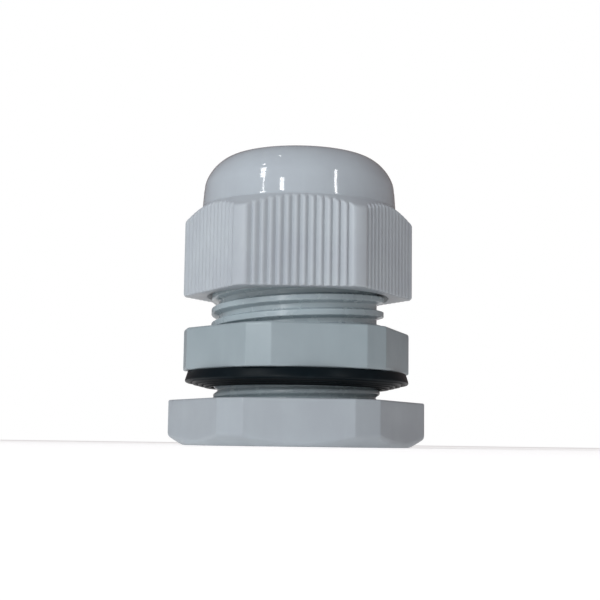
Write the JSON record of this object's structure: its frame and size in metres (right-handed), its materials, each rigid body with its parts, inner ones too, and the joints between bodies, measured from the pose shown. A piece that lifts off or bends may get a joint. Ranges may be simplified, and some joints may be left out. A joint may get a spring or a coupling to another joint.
{
  "type": "cable gland",
  "caption": "Nylon cable gland: dome nut on a threaded hexagonal body, fingered claw and rubber seal inside, sealing washer and hexagonal locknut below.",
  "frame": {"origin": "centre of the locknut's underside, on the cable's axis", "axes": "+Z along the cable's axis from the locknut to the dome, -Y towards the side seen in front"},
  "size_m": [0.0344, 0.032, 0.0393],
  "materials": {
    "nut_nylon": "moulded light grey nylon, satin, glossy on the dome",
    "body_nylon": "moulded light grey nylon, slightly greener, satin",
    "claw_nylon": "moulded light grey nylon, matt",
    "seal_rubber": "black chloroprene rubber, matt",
    "washer_rubber": "black rubber, slight sheen"
  },
  "bodies": {
    "gland_body": {"gland_body": "body_nylon", "clamping_claw": "claw_nylon"},
    "seal_insert": {"seal_insert": "seal_rubber"},
    "dome_nut": {"dome_nut": "nut_nylon"},
    "sealing_washer": {"sealing_washer": "washer_rubber"},
    "locknut": {"locknut": "nut_nylon"},
    "claw_finger_01": {"claw_finger_01": "claw_nylon"},
    "claw_finger_02": {"claw_finger_02": "claw_nylon"},
    "claw_finger_03": {"claw_finger_03": "claw_nylon"},
    "claw_finger_04": {"claw_finger_04": "claw_nylon"},
    "claw_finger_05": {"claw_finger_05": "claw_nylon"},
    "claw_finger_06": {"claw_finger_06": "claw_nylon"},
    "claw_finger_07": {"claw_finger_07": "claw_nylon"},
    "claw_finger_08": {"claw_finger_08": "claw_nylon"},
    "claw_finger_09": {"claw_finger_09": "claw_nylon"},
    "claw_finger_10": {"claw_finger_10": "claw_nylon"},
    "claw_finger_11": {"claw_finger_11": "claw_nylon"},
    "claw_finger_12": {"claw_finger_12": "claw_nylon"}
  },
  "joints": [
    {"name": "dome_nut_turn", "type": "hinge", "parent": "gland_body", "child": "seal_insert", "pos_m": [0, 0, 0.02015], "axis": [0, 0, 1], "range_deg": [-350, 600]},
    {"name": "dome_nut_travel", "type": "slide", "parent": "seal_insert", "child": "dome_nut", "axis": [0, 0, 1], "range_m": [-0.00379, 0.0065]},
    {"name": "locknut_turn", "type": "hinge", "parent": "gland_body", "child": "sealing_washer", "pos_m": [0, 0, 0.003], "axis": [0, 0, 1], "range_deg": [-1500, 350]},
    {"name": "locknut_travel", "type": "slide", "parent": "sealing_washer", "child": "locknut", "axis": [0, 0, 1], "range_m": [-0.00588, 0.00137]},
    {"name": "claw_finger_01_flex", "type": "hinge", "parent": "gland_body", "child": "claw_finger_01", "pos_m": [0, -0.0099, 0.02765], "axis": [-1, 0, 0], "range_deg": [-5.69, 3.33]},
    {"name": "claw_finger_02_flex", "type": "hinge", "parent": "gland_body", "child": "claw_finger_02", "pos_m": [0.00495, -0.00857, 0.02765], "axis": [-0.866, -0.5, 0], "range_deg": [-5.69, 3.33]},
    {"name": "claw_finger_03_flex", "type": "hinge", "parent": "gland_body", "child": "claw_finger_03", "pos_m": [0.00857, -0.00495, 0.02765], "axis": [-0.5, -0.866, 0], "range_deg": [-5.69, 3.33]},
    {"name": "claw_finger_04_flex", "type": "hinge", "parent": "gland_body", "child": "claw_finger_04", "pos_m": [0.0099, 0, 0.02765], "axis": [0, -1, 0], "range_deg": [-5.69, 3.33]},
    {"name": "claw_finger_05_flex", "type": "hinge", "parent": "gland_body", "child": "claw_finger_05", "pos_m": [0.00857, 0.00495, 0.02765], "axis": [0.5, -0.866, 0], "range_deg": [-5.69, 3.33]},
    {"name": "claw_finger_06_flex", "type": "hinge", "parent": "gland_body", "child": "claw_finger_06", "pos_m": [0.00495, 0.00857, 0.02765], "axis": [0.866, -0.5, 0], "range_deg": [-5.69, 3.33]},
    {"name": "claw_finger_07_flex", "type": "hinge", "parent": "gland_body", "child": "claw_finger_07", "pos_m": [0, 0.0099, 0.02765], "axis": [1, 0, 0], "range_deg": [-5.69, 3.33]},
    {"name": "claw_finger_08_flex", "type": "hinge", "parent": "gland_body", "child": "claw_finger_08", "pos_m": [-0.00495, 0.00857, 0.02765], "axis": [0.866, 0.5, 0], "range_deg": [-5.69, 3.33]},
    {"name": "claw_finger_09_flex", "type": "hinge", "parent": "gland_body", "child": "claw_finger_09", "pos_m": [-0.00857, 0.00495, 0.02765], "axis": [0.5, 0.866, 0], "range_deg": [-5.69, 3.33]},
    {"name": "claw_finger_10_flex", "type": "hinge", "parent": "gland_body", "child": "claw_finger_10", "pos_m": [-0.0099, 0, 0.02765], "axis": [0, 1, 0], "range_deg": [-5.69, 3.33]},
    {"name": "claw_finger_11_flex", "type": "hinge", "parent": "gland_body", "child": "claw_finger_11", "pos_m": [-0.00857, -0.00495, 0.02765], "axis": [-0.5, 0.866, 0], "range_deg": [-5.69, 3.33]},
    {"name": "claw_finger_12_flex", "type": "hinge", "parent": "gland_body", "child": "claw_finger_12", "pos_m": [-0.00495, -0.00857, 0.02765], "axis": [-0.866, 0.5, 0], "range_deg": [-5.69, 3.33]}
  ],
  "couplings": [
    {"joint": "dome_nut_travel", "follows": "dome_nut_turn", "m_per_rad": 0.0006207},
    {"joint": "locknut_travel", "follows": "locknut_turn", "m_per_rad": 0.00022459},
    {"joint": "claw_finger_01_flex", "follows": "dome_nut_turn", "ratio": -0.0094737},
    {"joint": "claw_finger_02_flex", "follows": "dome_nut_turn", "ratio": -0.0094737},
    {"joint": "claw_finger_03_flex", "follows": "dome_nut_turn", "ratio": -0.0094737},
    {"joint": "claw_finger_04_flex", "follows": "dome_nut_turn", "ratio": -0.0094737},
    {"joint": "claw_finger_05_flex", "follows": "dome_nut_turn", "ratio": -0.0094737},
    {"joint": "claw_finger_06_flex", "follows": "dome_nut_turn", "ratio": -0.0094737},
    {"joint": "claw_finger_07_flex", "follows": "dome_nut_turn", "ratio": -0.0094737},
    {"joint": "claw_finger_08_flex", "follows": "dome_nut_turn", "ratio": -0.0094737},
    {"joint": "claw_finger_09_flex", "follows": "dome_nut_turn", "ratio": -0.0094737},
    {"joint": "claw_finger_10_flex", "follows": "dome_nut_turn", "ratio": -0.0094737},
    {"joint": "claw_finger_11_flex", "follows": "dome_nut_turn", "ratio": -0.0094737},
    {"joint": "claw_finger_12_flex", "follows": "dome_nut_turn", "ratio": -0.0094737}
  ]
}
